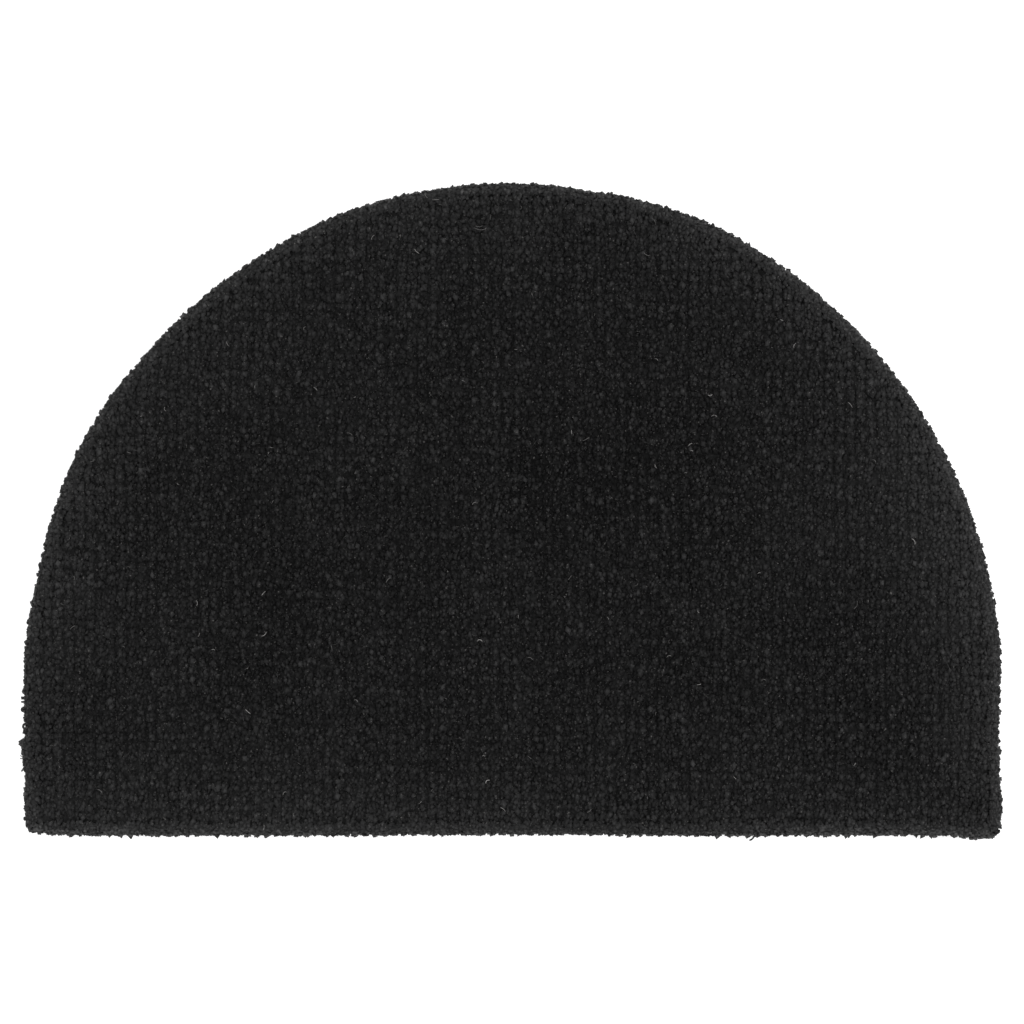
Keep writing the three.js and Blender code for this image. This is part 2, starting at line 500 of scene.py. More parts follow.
def makeBacking(sizes, material):
    rim = undersideRim()
    rows = [
        (0, sizes["bevel"]),
        (sizes["bevel"], 0),
        (sizes["thickness"] - sizes["bevel"], 0),
        (sizes["thickness"], sizes["bevel"]),
    ]
    shape = bmesh.new()
    rings = []
    for z, inset in rows:
        spots = [p.xy.to_3d() - p.xy.normalized().to_3d() * inset + Vector((0, 0, z)) for p in rim]
        rings.append([shape.verts.new(spot) for spot in spots])
    for lower, upper in zip(rings, rings[1:]):
        for i in range(len(rim)):
            j = (i + 1) % len(rim)
            shape.faces.new((lower[i], lower[j], upper[j], upper[i]))
    shape.faces.new(rings[0][::-1])
    shape.faces.new(rings[-1])
    return makePiece("backing", shape, material)


# Locks: a tuft is a few twisted locks of yarn, narrow where they leave the backing and frayed at the cut end
lockSizes = {
    "sides": 4,
    "radius": 1.38 * mm,
    "long": 1.42,  # along the row, against across it
    "twist": 0.5,  # radians from ring to ring
    "drift": 0.12,  # how far each ring may stand off the one below
    "forms": 7,
    "rings": [
        {"rise": 0.92, "wide": 1.14, "uneven": 0.18},
        {"rise": 0.97, "wide": 0.72, "uneven": 0.28},
    ],
    "waist": {"rise": 0.45, "wide": 0.72, "uneven": 0.10},  # of the locks that show their whole length
    "tip": 1.0,
    "ragged": 0.035,
    "frayed": 0.75,  # how much of the tip's painted top light the last ring has
}

mapReach = 0.44  # how far out a form goes on the map, from the middle of its cell


def lockForm(name, sizes, dice, long):  # one unit high and about one unit in radius, from its root up
    shape = bmesh.new()
    plan = shape.loops.layers.uv.new("plan")
    tipness = shape.verts.layers.float.new("tip")
    sides = sizes["sides"]
    root = shape.verts.new((0, 0, 0))
    rings = []
    turned = dice.uniform(0, math.tau)
    drift = Vector([dice.uniform(-sizes["drift"], sizes["drift"]) for axis in "xy"] + [0])
    rows = [sizes["waist"]] * long + sizes["rings"]
    for k, row in enumerate(rows):
        turned += sizes["twist"]
        ring = []
        for i in range(sides):
            angle = turned + math.tau * i / sides
            reach = row["wide"] * (1 + dice.uniform(-1, 1) * row["uneven"])
            height = row["rise"] + dice.uniform(-1, 1) * sizes["ragged"] * (k > 0)
            spot = Vector((reach * math.cos(angle), reach * math.sin(angle), height))
            ring.append(shape.verts.new(spot + drift * k))
        rings.append(ring)
    middle = sum((v.co for v in rings[-1]), Vector()) / sides
    tip = shape.verts.new((middle.x, middle.y, sizes["tip"] + dice.uniform(-1, 1) * sizes["ragged"]))

    # the tip, and less the last ring, get the painted top light
    tip[tipness] = 1.0
    for v in rings[-1]:
        v[tipness] = sizes["frayed"]
    spread = {root: 1.0, tip: 0.0}  # how far out each point lies on the flattened lock
    bearing = {}
    for k, ring in enumerate(rings):
        for i, v in enumerate(ring):
            spread[v] = 1 - (k + 1) / (len(rings) + 1)
            bearing[v] = math.tau * i / sides
    for i in range(sides):
        j = (i + 1) % sides
        faces = [(root, rings[0][j], rings[0][i])]
        for lower, upper in zip(rings, rings[1:]):
            faces.append((lower[i], lower[j], upper[j]))
            faces.append((lower[i], upper[j], upper[i]))
        faces.append((rings[-1][i], rings[-1][j], tip))
        for corners in faces:
            face = shape.faces.new(corners)
            face.smooth = True
            for loop in face.loops:
                angle = bearing.get(loop.vert, math.tau * (i + 0.5) / sides)
                out = mapReach * spread[loop.vert]
                loop[plan].uv = (0.5 + out * math.cos(angle), 0.5 + out * math.sin(angle))
    for i in range(sides):  # a crisp rim round the cut end
        shape.edges.get((rings[-2][i], rings[-2][(i + 1) % sides])).smooth = False
    return bpy.data.objects.new(name, meshOf(name, shape))


def makeForms(name, sizes, seed, long=False):
    forms = bpy.data.collections.new(name)
    dice = random.Random(seed)
    for i in range(sizes["forms"]):
        forms.objects.link(lockForm(f"{name}_{i}", sizes, dice, long))
    return forms


def dropForms(forms):
    for form in list(forms.objects):
        bpy.data.meshes.remove(form.data)
    bpy.data.collections.remove(forms)


# Pile: tufts in straight rows that run from the front to the back, in bands that each make one piece
pileSizes = {
    "rowPitch": 6.4 * mm,
    "tuftPitch": 5.9 * mm,
    "rowStray": 0.35 * mm,
    "tuftStray": 1.3 * mm,
    "sway": 5 * mm,
    "swayScale": 14.0,
    "locksRound": 7,  # round the middle one
    "tuftRadius": 2.1 * mm,
    "lockStray": 0.7 * mm,
    "root": 2.3 * mm,
    "heightStray": 0.45 * mm,
    "dome": 1.0 * mm,  # how much lower a tuft is round its middle lock
    "lean": 0.8 * mm,
    "rimLean": 0.5 * mm,
    "rimReach": 9 * mm,
    "rimRoom": 1.6 * mm,
    "spin": (1.0, 2.15),  # between which angles a lock's long side lies
    "thickness": (0.7, 1.3),  # of a lock, against its girth
    "tone": {  # of a lock, and what adds to it
        "all": 0.22,
        "own": 0.58,
        "ownPower": 3.0,
        "tuft": 0.1,
        "pale": 0.5,
        "palePower": 8.0,  # the higher, the fewer the pale ones
        # painted shade on the low outer locks of each tuft, between the tufts; on the rim it darkens each row
        # by its own amount
        "dome": -0.15,
    },
    "bands": [  # rows of tufts from the front edge back
        {"name": "pile_front", "from": 0, "to": 13},
        {"name": "pile_low", "from": 13, "to": 26},
        {"name": "pile_middle", "from": 26, "to": 39},
        {"name": "pile_high", "from": 39, "to": 53},
        {"name": "pile_back", "from": 53, "to": 69},
    ],
}

# Painted light at the rim: lighter near the edge, lighter still at the very rim, most at the back on the
# right
rimLight = {
    "wide": 34 * mm,  # over which the painted light fades inwards
    "close": 1.25 * mm,  # over which the painted light at the very rim does
    "least": 0.9,
    "leastAt": 50 * mm,  # of x and y together
    "most": 1.3,  # at the back on the right
    "mostAt": 400 * mm,
    "dust": (0.2, 2.8),  # how much of the painted light at the very rim a lock has, from least to most
}

# A soft crease, once folded, where the pile parts a little to the right of the middle
crease = {
    "x": 11 * mm, "halfWidth": 7 * mm, "part": 0.8 * mm, "front": -105 * mm, "back": 73 * mm, "fade": 25 * mm,
    "steep": 2.3,  # makes the locks lean over by about "part" where they lean most
    "bands": [  # beside it the pile lies over, with painted light on one side and painted shade on the other
        {"x": -16 * mm, "halfWidth": 14 * mm, "tone": 0.09},
        {"x": 15 * mm, "halfWidth": 9 * mm, "tone": -0.08},
    ],
}

# At what heights the points look for the slab, and how far
probes = {
    "low": backingSizes["thickness"] / 2,
    "below": -10 * mm,
    "above": 50 * mm,
    "beside": slabHigh[2] * 0.8,
    "reach": 100 * mm,
    "sideReach": 50 * mm,
    "steepest": 0.5,  # the upright faces look no further up or down
}


def hitSlab(recipe, spot, way, reach, output):  # what a ray from a spot learns of the slab
    return recipe.add("GeometryNodeRaycast", {}, {
        "Target Geometry": recipe.given("Geometry"), "Source Position": spot,
        "Ray Direction": way, "Ray Length": reach,
    }, output)


def atHeight(recipe, height):  # the spot above or below a point at this height
    x, y = recipe.split(recipe.place())[:2]
    return recipe.join(x, y, height)


def distanceIn(recipe, low):  # how far the spots are from the upright side of the slab
    upright = recipe.maths("ABSOLUTE", recipe.upward()) < probes["steepest"]
    return recipe.add("GeometryNodeProximity", {"target_element": "FACES"}, {
        "Geometry": recipe.faces(recipe.given("Geometry"), upright), "Sample Position": low,
    }, "Distance")


def slabAround(recipe):  # what each point learns of the slab
    heights = [probes[name] for name in ("low", "below", "above", "beside")]
    low, below, above, beside = [atHeight(recipe, height) for height in heights]
    near = distanceIn(recipe, low)
    outward = recipe.vector("NORMALIZE", recipe.vector("SUBTRACT", near.out("Position"), low))
    topSpot = hitSlab(recipe, above, (0, 0, -1), probes["reach"], "Hit Position")
    return {
        "near": near,
        "outward": outward,
        "under": hitSlab(recipe, below, (0, 0, 1), probes["reach"], "Is Hit"),
        "top": recipe.split(topSpot)[2],
        "side": hitSlab(recipe, beside, outward, probes["sideReach"], "Hit Distance"),
    }


def paintRimLight(recipe, points, near):  # painted light on the pile: most at the very rim, fading over some way in
    x, y = recipe.split(recipe.place())[:2]
    most = recipe.ramp(x + y, rimLight["leastAt"], rimLight["mostAt"], rimLight["least"], rimLight["most"])
    return recipe.noteAll(points, {
        "edge": recipe.fade(near / rimLight["wide"]) * most,
        "dust": recipe.fade(near / rimLight["close"]) * recipe.chance(12, *rimLight["dust"]),
    })


def tuftSpots(recipe, sizes):  # the rows of a band, which wander a little
    tufts, rows, pitch = [recipe.given(label) for label in ("Tufts", "Rows", "Tuft Pitch")]
    grid = recipe.add("GeometryNodeMeshGrid", {}, {
        "Size X": (rows - 1) * recipe.given("Row Pitch"), "Size Y": (tufts - 1) * pitch,
        "Vertices X": rows, "Vertices Y": tufts,
    })
    middle = recipe.given("Front") + (recipe.given("First Tuft") + tufts * 0.5) * pitch
    grid = recipe.move(grid, recipe.join(0.0, middle, 0.0))
    sway = recipe.noise(recipe.place(), sizes["swayScale"], detail=1.0, output="Color")
    sway = recipe.vector("SCALE", recipe.vector("SUBTRACT", sway, (0.5, 0.5, 0.5)), scale=sizes["sway"])
    grid = recipe.move(grid, recipe.vector("MULTIPLY", sway, (1, 1, 0)))
    grid = recipe.move(grid, recipe.scatter(1, (sizes["rowStray"], sizes["tuftStray"], 0)))
    grid = recipe.note(grid, "tuftTone", recipe.chance(2))
    return recipe.add("GeometryNodeMeshToPoints", {}, {"Mesh": grid})


def tuftPlan(recipe, sizes):  # where the locks of a tuft stand: one in the middle, the others round it
    index = recipe.add("GeometryNodeInputIndex")
    isRound = index < sizes["locksRound"] - 0.5
    angle = index * (math.tau / sizes["locksRound"])
    x, y = [recipe.maths(way, angle) * isRound * sizes["tuftRadius"] for way in ("COSINE", "SINE")]
    plan = recipe.add("GeometryNodePoints", {}, {
        "Count": sizes["locksRound"] + 1, "Position": recipe.join(x, y, 0.0),
    })
    return recipe.note(plan, "dome", isRound * sizes["dome"])


def makePileRecipe(sizes):
    recipe = Recipe("pile", {
        "First Tuft": "Int", "Tufts": "Int", "Rows": "Int",
        "Row Pitch": "Float", "Tuft Pitch": "Float", "Front": "Float",
    })
    locks = recipe.add("GeometryNodeInstanceOnPoints", {}, {
        "Points": tuftSpots(recipe, sizes), "Instance": tuftPlan(recipe, sizes),
        "Rotation": recipe.join(0.0, 0.0, recipe.chance(3, 0.0, math.tau)),
    })
    locks = recipe.add("GeometryNodeRealizeInstances", {}, {"Geometry": locks})
    locks = recipe.move(locks, recipe.scatter(4, (sizes["lockStray"], sizes["lockStray"], 0)))

    around = slabAround(recipe)
    near = around["near"]
    lean = recipe.ramp(near, sizes["rimRoom"], sizes["rimReach"], sizes["rimLean"], 0.0)
    sag = recipe.noted("dome") * recipe.ramp(near, sizes["rimRoom"], sizes["rimReach"], 0.0, 1.0)
    locks = recipe.note(locks, "lean", recipe.vector("SCALE", around["outward"], scale=lean), "FLOAT_VECTOR")
    locks = recipe.noteAll(locks, {
        "top": around["top"] - sag,
        "girth": lockSizes["radius"],
        "spin": recipe.chance(7, *sizes["spin"]),
        "loose": 1.0,
    })
    locks = paintRimLight(recipe, locks, near)
    off = 1 - around["under"] * (near > sizes["rimRoom"])
    plantLocks(recipe, sizes, recipe.drop(locks, off))
    return recipe


def lockTone(recipe, sizes, x, within):  # how pale a lock is, with painted shade on a tuft's outer locks and painted light and shade beside the crease
    shares = sizes["tone"]
    pale = recipe.chance(11) ** shares["palePower"]
    own = recipe.chance(10) ** shares["ownPower"]
    tone = shares["all"] + own * shares["own"] + recipe.noted("tuftTone") * shares["tuft"]
    # painted shade on a tuft's outer locks
    tone = tone + pale * shares["pale"] + recipe.noted("dome") / sizes["dome"] * shares["dome"]
    # painted light and painted shade beside the crease
    for band in crease["bands"]:
        beside = (x - band["x"]) / band["halfWidth"]
        tone = tone + recipe.fade(beside * beside) * within * band["tone"]
    return tone


def plantLocks(recipe, sizes, locks):  # stands a lock on every point, as long and as far over as it is told
    x, y = recipe.split(recipe.place())[:2]
    front, back, fade, stray = crease["front"], crease["back"], crease["fade"], sizes["heightStray"]
    beside = (x - crease["x"]) / crease["halfWidth"]
    within = recipe.ramp(y, front - fade, front + fade, 0.0, 1.0)
    within = within * recipe.ramp(y, back - fade, back + fade, 1.0, 0.0)
    part = beside * recipe.fade(beside * beside) * within * crease["part"] * crease["steep"]
    lean = recipe.vector("ADD", recipe.noted("lean", "FLOAT_VECTOR"), recipe.join(part, 0.0, 0.0))
    loose = recipe.scatter(5, (sizes["lean"], sizes["lean"], 0))
    lean = recipe.vector("ADD", lean, recipe.vector("SCALE", loose, scale=recipe.noted("loose")))
    length = recipe.noted("top") - sizes["root"] + recipe.chance(6, -stray, stray)
    length = length + (recipe.noted("tuftTone") - 0.5) * stray
    tilt = recipe.facing(recipe.vector("ADD", lean, recipe.join(0.0, 0.0, length)))
    spin = recipe.add("FunctionNodeAxisAngleToRotation", {}, {
        "Axis": (0, 0, 1), "Angle": recipe.noted("spin"),
    })
    turn = recipe.add("FunctionNodeRotateRotation", {"rotation_space": "LOCAL"}, {
        "Rotation": tilt, "Rotate By": spin,
    })
    wide = recipe.chance(8, *sizes["thickness"]) * recipe.noted("girth")
    locks = recipe.number(recipe.move(locks, recipe.join(0.0, 0.0, sizes["root"])))
    locks = recipe.note(locks, "tone", lockTone(recipe, sizes, x, within))
    grown = recipe.plant(locks, {
        "Instance Index": recipe.choice(9, lockSizes["forms"]), "Rotation": turn,
        "Scale": recipe.join(wide * lockSizes["long"], wide, length),
    })
    scratch = ("plan", "cell", "lean", "loose", "top", "girth", "spin", "tuftTone", "dome")
    recipe.finish(recipe.layOut(locks, grown), scratch)


# Rim: locks close together all along the edge of the backing, which lean out over it as far as the slab goes
rimSizes = {
    "beyond": 0.1,  # how far past the slab's side the tips are, of a lock's radius
    "loose": 0.65,  # how freely they lean, against the locks of the pile
    "jitter": 0.4 * mm,
    "spin": (1.1, 2.05),  # between which angles to the edge a lock's long side lies
    "rough": {"times": 2.2, "from": -292 * mm, "to": -250 * mm},  # how much rougher the left edge is
    "trims": [  # on the left, where the locks reach further out than the slab, or less far
        {"x": -300 * mm, "y": -200 * mm, "halfWidth": 6 * mm, "out": 2.5 * mm},
        {"x": -300 * mm, "y": -156 * mm, "halfWidth": 6 * mm, "out": -0.8 * mm},
        {"x": -300 * mm, "y": -133 * mm, "halfWidth": 24 * mm, "out": -1.2 * mm},
    ],
    "firstSeed": 20,
    "seedStep": 10,
    # How far in the roots are and the tips stay back, how much lower than the slab the locks end, and how
    # thick and how dark they are
    "rows": [
        {"inset": 0.8 * mm, "spacing": 0.95 * mm, "back": 0.0, "stray": 0.2 * mm,
         "short": 0.2 * mm, "shortest": 1.5 * mm, "girth": 0.72, "dark": 0.8},
        {"inset": 2.2 * mm, "spacing": 1.3 * mm, "back": 1.8 * mm, "stray": 0.5 * mm,
         "short": -0.2 * mm, "shortest": 0.8 * mm, "girth": 1.0, "dark": 1.2},
        {"inset": 3.0 * mm, "spacing": 1.9 * mm, "back": 3.6 * mm, "stray": 0.6 * mm,
         "short": -0.3 * mm, "shortest": 0.5 * mm, "girth": 1.05, "dark": 1.6},
        {"inset": 0.6 * mm, "spacing": 2.1 * mm, "back": 0.5 * mm, "stray": 0.3 * mm,
         "short": 4.0 * mm, "shortest": 8.5 * mm, "girth": 1.05, "dark": 0.8},
        {"inset": 4.4 * mm, "spacing": 2.1 * mm, "back": 5.3 * mm, "stray": 0.7 * mm,
         "short": -0.1 * mm, "shortest": 0.7 * mm, "girth": 1.05, "dark": 2.0},
    ],
}


def undersideEdge(recipe):  # the outline of the flat underside, as a curve
    flat = recipe.faces(recipe.given("Geometry"), recipe.upward() < -level)
    isOuter = recipe.add("GeometryNodeInputMeshEdgeNeighbors") < 1.5  # an edge with only one face beside it
    return recipe.add("GeometryNodeMeshToCurve", {}, {"Mesh": flat, "Selection": isOuter})


def rimRow(recipe, sizes, rim, row, seed, outline, around):
    even = recipe.add("GeometryNodeResampleCurve", {"mode": "LENGTH"}, {
        "Curve": outline, "Length": row["spacing"],
    })
    locks = recipe.add("GeometryNodeCurveToPoints", {"mode": "EVALUATED"}, {"Curve": even}, "Points")
    inward = recipe.vector("SCALE", recipe.vector("NORMALIZE", recipe.place()), scale=-row["inset"])
    jitter = recipe.scatter(seed, (rim["jitter"], rim["jitter"], 0))
    locks = recipe.move(locks, recipe.vector("ADD", inward, jitter))
    left = rim["rough"]
    rough = recipe.ramp(recipe.split(recipe.place())[0], left["from"], left["to"], left["times"], 1.0)
    reach = around["side"] + lockSizes["radius"] * row["girth"] * rim["beyond"] - row["back"]
    reach = reach + recipe.chance(seed + 2, -row["stray"], row["stray"]) * rough
    for trim in rim["trims"]:
        spot = (trim["x"], trim["y"], 0)
        away = recipe.vector("DISTANCE", atHeight(recipe, 0.0), spot) / trim["halfWidth"]
        reach = reach + recipe.fade(away * away) * trim["out"]
    outX, outY = recipe.split(around["outward"])[:2]
    along = recipe.maths("ARCTAN2", outY, outX)
    locks = recipe.note(locks, "lean", recipe.vector("SCALE", around["outward"], scale=reach), "FLOAT_VECTOR")
    locks = recipe.noteAll(locks, {
        "tuftTone": recipe.chance(seed + 1),
        "top": around["top"] - recipe.chance(seed + 3, row["short"], row["shortest"]),
        "girth": lockSizes["radius"] * row["girth"],
        "spin": along + recipe.chance(seed + 4, *rim["spin"]),
        "loose": rim["loose"],
        "dome": sizes["dome"] * row["dark"],
    })
    return recipe.drop(paintRimLight(recipe, locks, around["near"]), 1 - around["under"])


def makeRimRecipe(sizes, rim):
    recipe = Recipe("rim", {})
    outline = undersideEdge(recipe)
    around = slabAround(recipe)
    rows = []
    for k, row in enumerate(rim["rows"]):
        seed = rim["firstSeed"] + rim["seedStep"] * k
        rows.append(rimRow(recipe, sizes, rim, row, seed, outline, around))
    plantLocks(recipe, sizes, recipe.add("GeometryNodeJoinGeometry", {}, {"Geometry": rows}))
    return recipe


# Fibre ends: single fibres that stand out between the locks and along the rim
fibreSizes = {
    "onTop": 105000,  # a square metre
    "onSide": 90000,
    "topFaces": 0.6,  # how far up they look at the least
    "lowest": 4 * mm,
    "thinnest": 0.14 * mm,
    "thickest": 0.26 * mm,
    "shortest": 2.2 * mm,
    "longest": 4.2 * mm,
    "sunk": 0.66,  # of the length
    "stray": (0.75, 0.75, 0.3),  # how far they lean away from straight out
    "rise": 0.35,  # how much further up they point
    "tone": 0.75,  # at the most
    # painted light on the ends at the very rim
    "rimLightOnEnds": 0.6,
    # dust on a few ends, stored with the painted light at the very rim
    "dust": 1.9,
    "dustPower": 3.2,  # the higher, the fewer the dusty ones
}

footPlan = ((0.03, 0.03), (0.09, 0.03), (0.03, 0.09))  # where the hidden foot of a fibre lies on the map


def spikeForm(sides=3):  # one unit long, tapering to its tip
    shape = bmesh.new()
    plan = shape.loops.layers.uv.new("plan")
    tipness = shape.verts.layers.float.new("tip")
    angles = [math.tau * i / sides for i in range(sides)]
    foot = [shape.verts.new((math.cos(angle), math.sin(angle), 0)) for angle in angles]
    tip = shape.verts.new((0, 0, 1))
    # the tip gets the painted top light
    tip[tipness] = 1.0
    corners = {v: (0.5 + mapReach * v.co.x, 0.5 + mapReach * v.co.y) for v in foot}
    corners[tip] = (0.5, 0.5)
    for i in range(sides):
        face = shape.faces.new((foot[i], foot[(i + 1) % sides], tip))
        face.smooth = True
        for loop in face.loops:
            loop[plan].uv = corners[loop.vert]
    for loop, place in zip(shape.faces.new(foot[::-1]).loops, footPlan):
        loop[plan].uv = place
    forms = bpy.data.collections.new("fibre_form")
    forms.objects.link(bpy.data.objects.new("fibre_form", meshOf("fibre_form", shape)))
    return forms


def makeFibreEnds(sizes, shell, material):
    forms = spikeForm()
    recipe = Recipe("fibre_ends", {"On Top": "Float", "On Side": "Float"})
    isTop = recipe.upward() > sizes["topFaces"]
    isLow = recipe.split(recipe.place())[2] < sizes["lowest"]
    density = isTop * recipe.given("On Top") + (1 - isTop) * (1 - isLow) * recipe.given("On Side")
    spots = recipe.add("GeometryNodeDistributePointsOnFaces", {}, {
        "Mesh": recipe.given("Geometry"), "Density": density, "Seed": 8,
    }, "Points")
    way = recipe.vector("ADD", spots.out("Normal"), recipe.scatter(51, sizes["stray"]))
    way = recipe.vector("NORMALIZE", recipe.vector("ADD", way, (0.0, 0.0, sizes["rise"])))
    near = distanceIn(recipe, atHeight(recipe, probes["low"]))
    pale = recipe.chance(53) ** sizes["dustPower"] * sizes["dust"]
    spots = recipe.note(spots, "way", way, "FLOAT_VECTOR")
    spots = recipe.noteAll(spots, {
        # painted light near the rim, and dust on a few ends
        "edge": recipe.fade(near / rimLight["wide"]),
        "dust": recipe.fade(near / rimLight["close"]) * sizes["rimLightOnEnds"] + pale,
        "tone": recipe.chance(54, 0.0, sizes["tone"]),
        "length": recipe.chance(52, sizes["shortest"], sizes["longest"]),
    })
    way, length = recipe.noted("way", "FLOAT_VECTOR"), recipe.noted("length")
    spots = recipe.number(recipe.move(spots, recipe.vector("SCALE", way, scale=length * -sizes["sunk"])))
    wide = recipe.chance(55, sizes["thinnest"], sizes["thickest"])
    grown = recipe.plant(spots, {"Rotation": recipe.facing(way), "Scale": recipe.join(wide, wide, length)})
    recipe.finish(recipe.layOut(spots, grown), ("plan", "cell", "way", "length"))
    ends = recipe.run("fibre_ends", shell, {
        "Forms": forms, "Material": material, "On Top": sizes["onTop"], "On Side": sizes["onSide"],
    })
    dropForms(forms)
    return ends


# Core: the closely packed lower part of the pile, which shows only as dark ground between the locks
coreSizes = {
    "inset": 3.0 * mm,
    "bottom": 1.0 * mm,
    "share": 0.74,  # of the slab's height
    "rough": 0.8 * mm,
    "roughFrom": 5 * mm,
    "grain": 300,
    "tone": 0.7,
    "toneStray": 0.5,
}


def makeCore(sizes, shell, material):
    shape = bmesh.new()
    shape.from_mesh(shell)
    for v in shape.verts:
        out = v.co.xy.length
        spot = v.co.xy * (1 - sizes["inset"] / max(out, sizes["inset"]))
        bump = noise.noise(Vector((spot.x, spot.y, 0)) * sizes["grain"]) * sizes["rough"]
        height = sizes["bottom"] + v.co.z * sizes["share"] + bump * (v.co.z > sizes["roughFrom"])
        v.co = Vector((spot.x, spot.y, height))
    for face in shape.faces:
        face.smooth = True
    tone = shape.verts.layers.float.new("tone")
    for v in shape.verts:
        v[tone] = sizes["tone"] + sizes["toneStray"] * noise.noise(v.co * sizes["grain"])
    return makePiece("pile_core", shape, material)


# Lint: short pale bits caught in the pile
lintSizes = {
    "forms": 8,
    "segments": 5,
    "curl": 2.4,  # radians, at the most
    "drop": 0.08,  # of the length, as is the thickness
    "thick": 0.04,
    "density": 1500,  # a square metre
    "shortest": 1.2 * mm,
    "longest": 4.5 * mm,
    "proud": 0.15 * mm,
    "tilt": 0.25,
    "tonePower": 2.5,  # the higher, the fewer the pale ones
}


def bentFibre(shape, path, radius, sides=3, taper=0.55, turned=0.5):  # along a path, closed at both ends
    rings = []
    for k, spot in enumerate(path):
        ahead = (path[min(k + 1, len(path) - 1)] - path[max(k - 1, 0)]).normalized()
        across = ahead.cross(Vector((0, 0, 1))).normalized()
        above = across.cross(ahead)
        thin = radius * (taper if k in (0, len(path) - 1) else 1.0)
        turns = [turned + math.tau * i / sides for i in range(sides)]
        spots = [spot + (across * math.cos(turn) + above * math.sin(turn)) * thin for turn in turns]
        rings.append([shape.verts.new(corner) for corner in spots])
    faces = [rings[0], rings[-1][::-1]]
    for one, two in zip(rings, rings[1:]):
        faces += [(one[(i + 1) % sides], one[i], two[i], two[(i + 1) % sides]) for i in range(sides)]
    for corners in faces:
        shape.faces.new(corners).smooth = True
    return sum(rings, [])


def curledPath(start, heading, length, curl, drop, segments, tighten=1):
    path = [start]
    step = length / segments
    for k in range(segments):
        way = heading + curl * ((k + 0.5) / segments) ** tighten
        fall = -drop * (2 * k + 1) / segments ** 2
        path.append(path[-1] + Vector((math.cos(way) * step, math.sin(way) * step, fall)))
    return path


def lintForms(sizes):
    forms = bpy.data.collections.new("lint_form")
    dice = random.Random(12)
    for i in range(sizes["forms"]):
        shape = bmesh.new()
        curl = dice.uniform(-sizes["curl"], sizes["curl"])
        path = curledPath(Vector(), -curl / 2, 1.0, curl, sizes["drop"], sizes["segments"])
        bentFibre(shape, path, sizes["thick"])
        data = meshOf(f"lint_form_{i}", shape)
        forms.objects.link(bpy.data.objects.new(data.name, data))
    return forms


def makeLint(sizes, shell, material):
    forms = lintForms(sizes)
    recipe = Recipe("lint", {"Density": "Float", "Shortest": "Float", "Longest": "Float"})
    spots = recipe.add("GeometryNodeDistributePointsOnFaces", {}, {
        "Mesh": recipe.given("Geometry"), "Selection": recipe.upward() > level,
        "Density": recipe.given("Density"), "Seed": 5,
    }, "Points")
    spots = recipe.note(spots, "tone", recipe.chance(31) ** sizes["tonePower"])
    spots = recipe.move(spots, recipe.join(0.0, 0.0, recipe.chance(32, -sizes["proud"], sizes["proud"])))
    tilts = [recipe.chance(seed, -sizes["tilt"], sizes["tilt"]) for seed in (34, 35)]
    reach = recipe.chance(37)
    reach = reach * reach * (recipe.given("Longest") - recipe.given("Shortest")) + recipe.given("Shortest")
    recipe.finish(recipe.plant(spots, {
        "Instance Index": recipe.choice(33, sizes["forms"]),
        "Rotation": recipe.join(*tilts, recipe.chance(36, 0.0, math.tau)), "Scale": reach,
    }))
    lint = recipe.run("lint", shell, {
        "Forms": forms, "Material": material, "Density": sizes["density"],
        "Shortest": sizes["shortest"], "Longest": sizes["longest"],
    })
    dropForms(forms)
    return lint


# Stray fibres: the few longer ones, each where the photograph shows it
straySizes = {
    "segments": 12,
    "tighten": 1.8,  # above 1, a fibre curls more towards its end
    # x, y and z of the start, heading, length, curl, how far the end sinks, how pale it is, and its radius,
    # in millimetres and degrees
    "fibres": [
        (-23.0, 173.9, 15.1, 335, 8.3, 70, 0.2, 0.1, 0.3),
        (-22.0, 175.0, 15.1, 345, 4.5, 50, 0.2, 0.06, 0.25),
        (86, 180, 15.2, 320, 5.5, -60, 0.4, 0.12, 0.15),
        (149.7, -196.6, 12.5, 266, 7.2, -60, 4.0, 0.0, 0.62),
        (-193, -58, 15.2, 70, 3.5, 80, 0.2, 0.5, 0.15),
        (-184, -85, 15.2, 20, 2.4, -90, 0.2, 0.5, 0.15),
        (-24, 4, 15.2, 60, 3.0, -80, 0.2, 0.35, 0.15),
        (210, -60, 15.2, 40, 6.0, 80, 0.3, 0.15, 0.15),
        (-298.4, -114.8, 14.0, 172, 2.6, 20, 0.3, 0.0, 1.1),
        (-298.4, -117.0, 14.0, 176, 2.6, 30, 0.3, 0.05, 0.7),
        (-298.3, -120.5, 14.0, 180, 5.6, 300, 0.3, 0.0, 0.85),
        (-296.6, -130.3, 14.4, 180, 7.8, 310, 0.4, 0.0, 0.85),
        (-299.0, -139.6, 13.4, 214, 4.4, 0, 0.5, 0.02, 0.8),
        (-298.2, -142.2, 13.4, 182, 4.2, 0, 0.5, 0.02, 1.0),
        (-298.4, -144.6, 13.4, 155, 4.6, 0, 0.5, 0.02, 1.0),
        (-298.2, -146.6, 13.4, 138, 5.8, 0, 0.5, 0.02, 0.7),
        (-297.5, -150.6, 13.8, 184, 4.4, -30, 0.5, 0.06, 0.3),
        (-297.5, -152.4, 13.8, 164, 4.4, 30, 0.5, 0.06, 0.3),
        (-297.6, -154.0, 13.8, 246, 6.8, -14, 0.5, 0.0, 0.6),
    ],
}


def makeStrays(sizes, material):
    shape = bmesh.new()
    toneLayer = shape.verts.layers.float.new("tone")
    for x, y, z, heading, length, curl, drop, tone, radius in sizes["fibres"]:
        start = Vector((x, y, z)) * mm
        heading, curl = math.radians(heading), math.radians(curl)
        path = curledPath(start, heading, length * mm, curl, drop * mm, sizes["segments"], sizes["tighten"])
        for v in bentFibre(shape, path, radius * mm):
            v[toneLayer] = tone
    return makePiece("stray_fibres", shape, material)


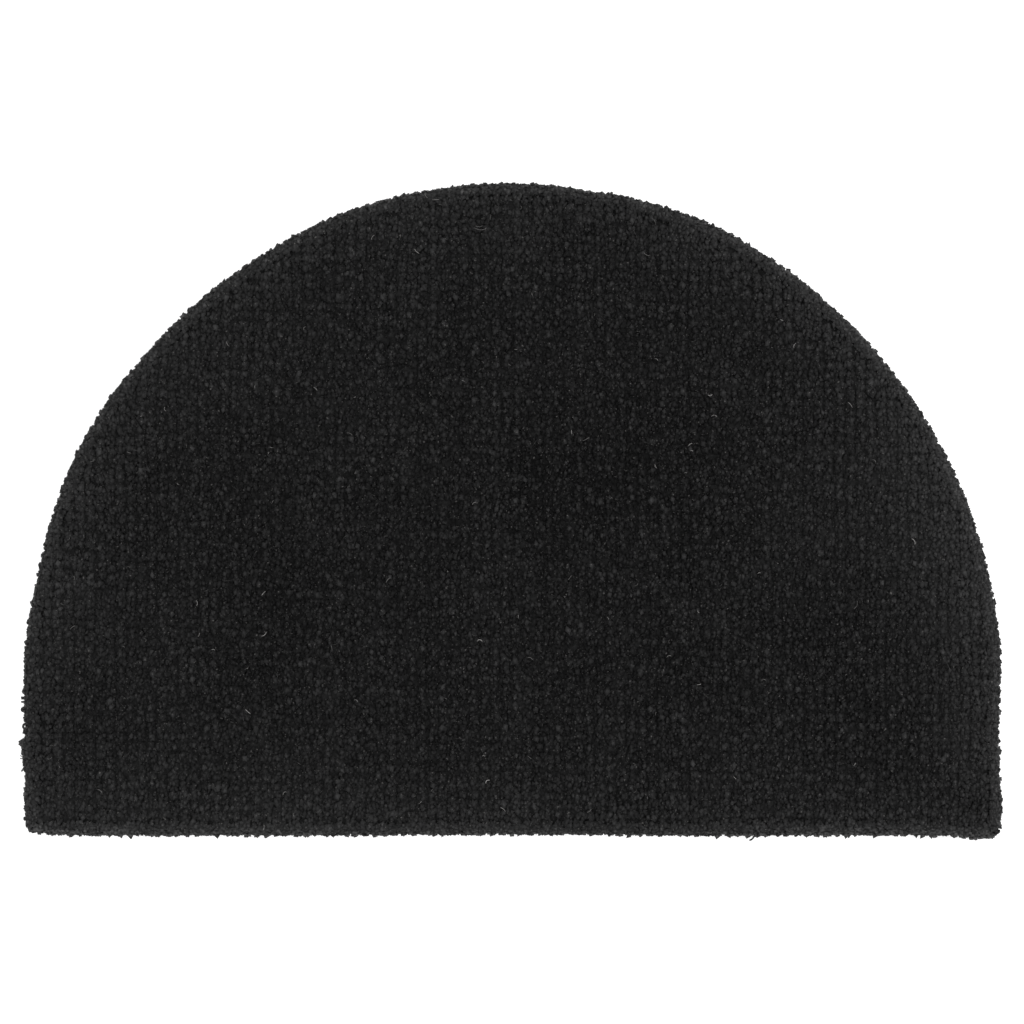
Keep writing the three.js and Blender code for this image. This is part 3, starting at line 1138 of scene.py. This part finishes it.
def makePile(sizes, material):
    forms = makeForms("lock_form", lockSizes, seed=3)
    longForms = makeForms("long_lock_form", lockSizes, seed=4, long=True)
    shell = meshOf("shell", mergedSlab())
    recipe = makePileRecipe(sizes)
    rows = 2 * math.ceil(slabHigh[0] / sizes["rowPitch"])
    pieces = [makeCore(coreSizes, shell, material)]
    for band in sizes["bands"]:
        pieces.append(recipe.run(band["name"], shell, {
            "First Tuft": band["from"], "Tufts": band["to"] - band["from"], "Rows": rows,
            "Row Pitch": sizes["rowPitch"], "Tuft Pitch": sizes["tuftPitch"], "Front": slabLow[1],
            "Forms": forms, "Material": material,
        }))
    rim = makeRimRecipe(sizes, rimSizes)
    pieces.append(rim.run("pile_rim", shell, {"Forms": longForms, "Material": material}))
    pieces.append(makeFibreEnds(fibreSizes, shell, material))
    dropForms(forms)
    dropForms(longForms)
    lintMaterial = makeLintMaterial(lintLook)
    pieces.append(makeLint(lintSizes, shell, lintMaterial))
    pieces.append(makeStrays(straySizes, lintMaterial))
    return pieces


# Studio: even light, a weak lamp high at the right, and a floor that glows like a table lit from below
studio = {
    "world": 1.4,
    "key": 4.5,  # watts
    "keySize": 0.9,
    "keyPlace": (0.95, 0.45, 0.7),
    "floorHalf": 6.0,
    "floorHeight": -0.3 * mm,
    "floorColour": (0.9, 0.9, 0.9, 1),
    "floorRoughness": 0.9,
    "floorGlow": 0.28,
}


def makeFloor(sizes):
    material = Paint("pale_floor").finish(sizes["floorColour"], sizes["floorRoughness"], 0.0, {
        "Emission Color": (1, 1, 1, 1), "Emission Strength": sizes["floorGlow"],
    })
    half, height = sizes["floorHalf"], sizes["floorHeight"]
    corners = ((-half, -half), (half, -half), (half, half), (-half, half))
    shape = bmesh.new()
    shape.faces.new([shape.verts.new((x, y, height)) for x, y in corners])
    return makePiece("floor", shape, material)


def makeStudio(sizes):
    scene = bpy.context.scene
    scene.view_settings.view_transform = "Standard"
    scene.world = bpy.data.worlds.new("studio")
    scene.world.use_nodes = True
    background = scene.world.node_tree.nodes["Background"]
    background.inputs["Color"].default_value = (1, 1, 1, 1)
    background.inputs["Strength"].default_value = sizes["world"]
    key = bpy.data.objects.new("key", bpy.data.lights.new("key", "AREA"))
    key.data.energy = sizes["key"]
    key.data.size = sizes["keySize"]
    key.location = sizes["keyPlace"]
    key.rotation_euler = (-Vector(sizes["keyPlace"])).to_track_quat("-Z", "Y").to_euler()
    scene.collection.objects.link(key)
    makeFloor(sizes)


makeCamera(cameraSizes)
print("camera placed")
pileMaterial = makePileMaterial(pileLook)
backingMaterial = makeBackingMaterial(backingLook)
backing = makeBacking(backingSizes, backingMaterial)
print("backing made")
pile = makePile(pileSizes, pileMaterial)
print("pile made")
makeStudio(studio)
print("studio lit")

for piece in [backing] + pile:
    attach(piece, "root")
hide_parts("coir_mat")
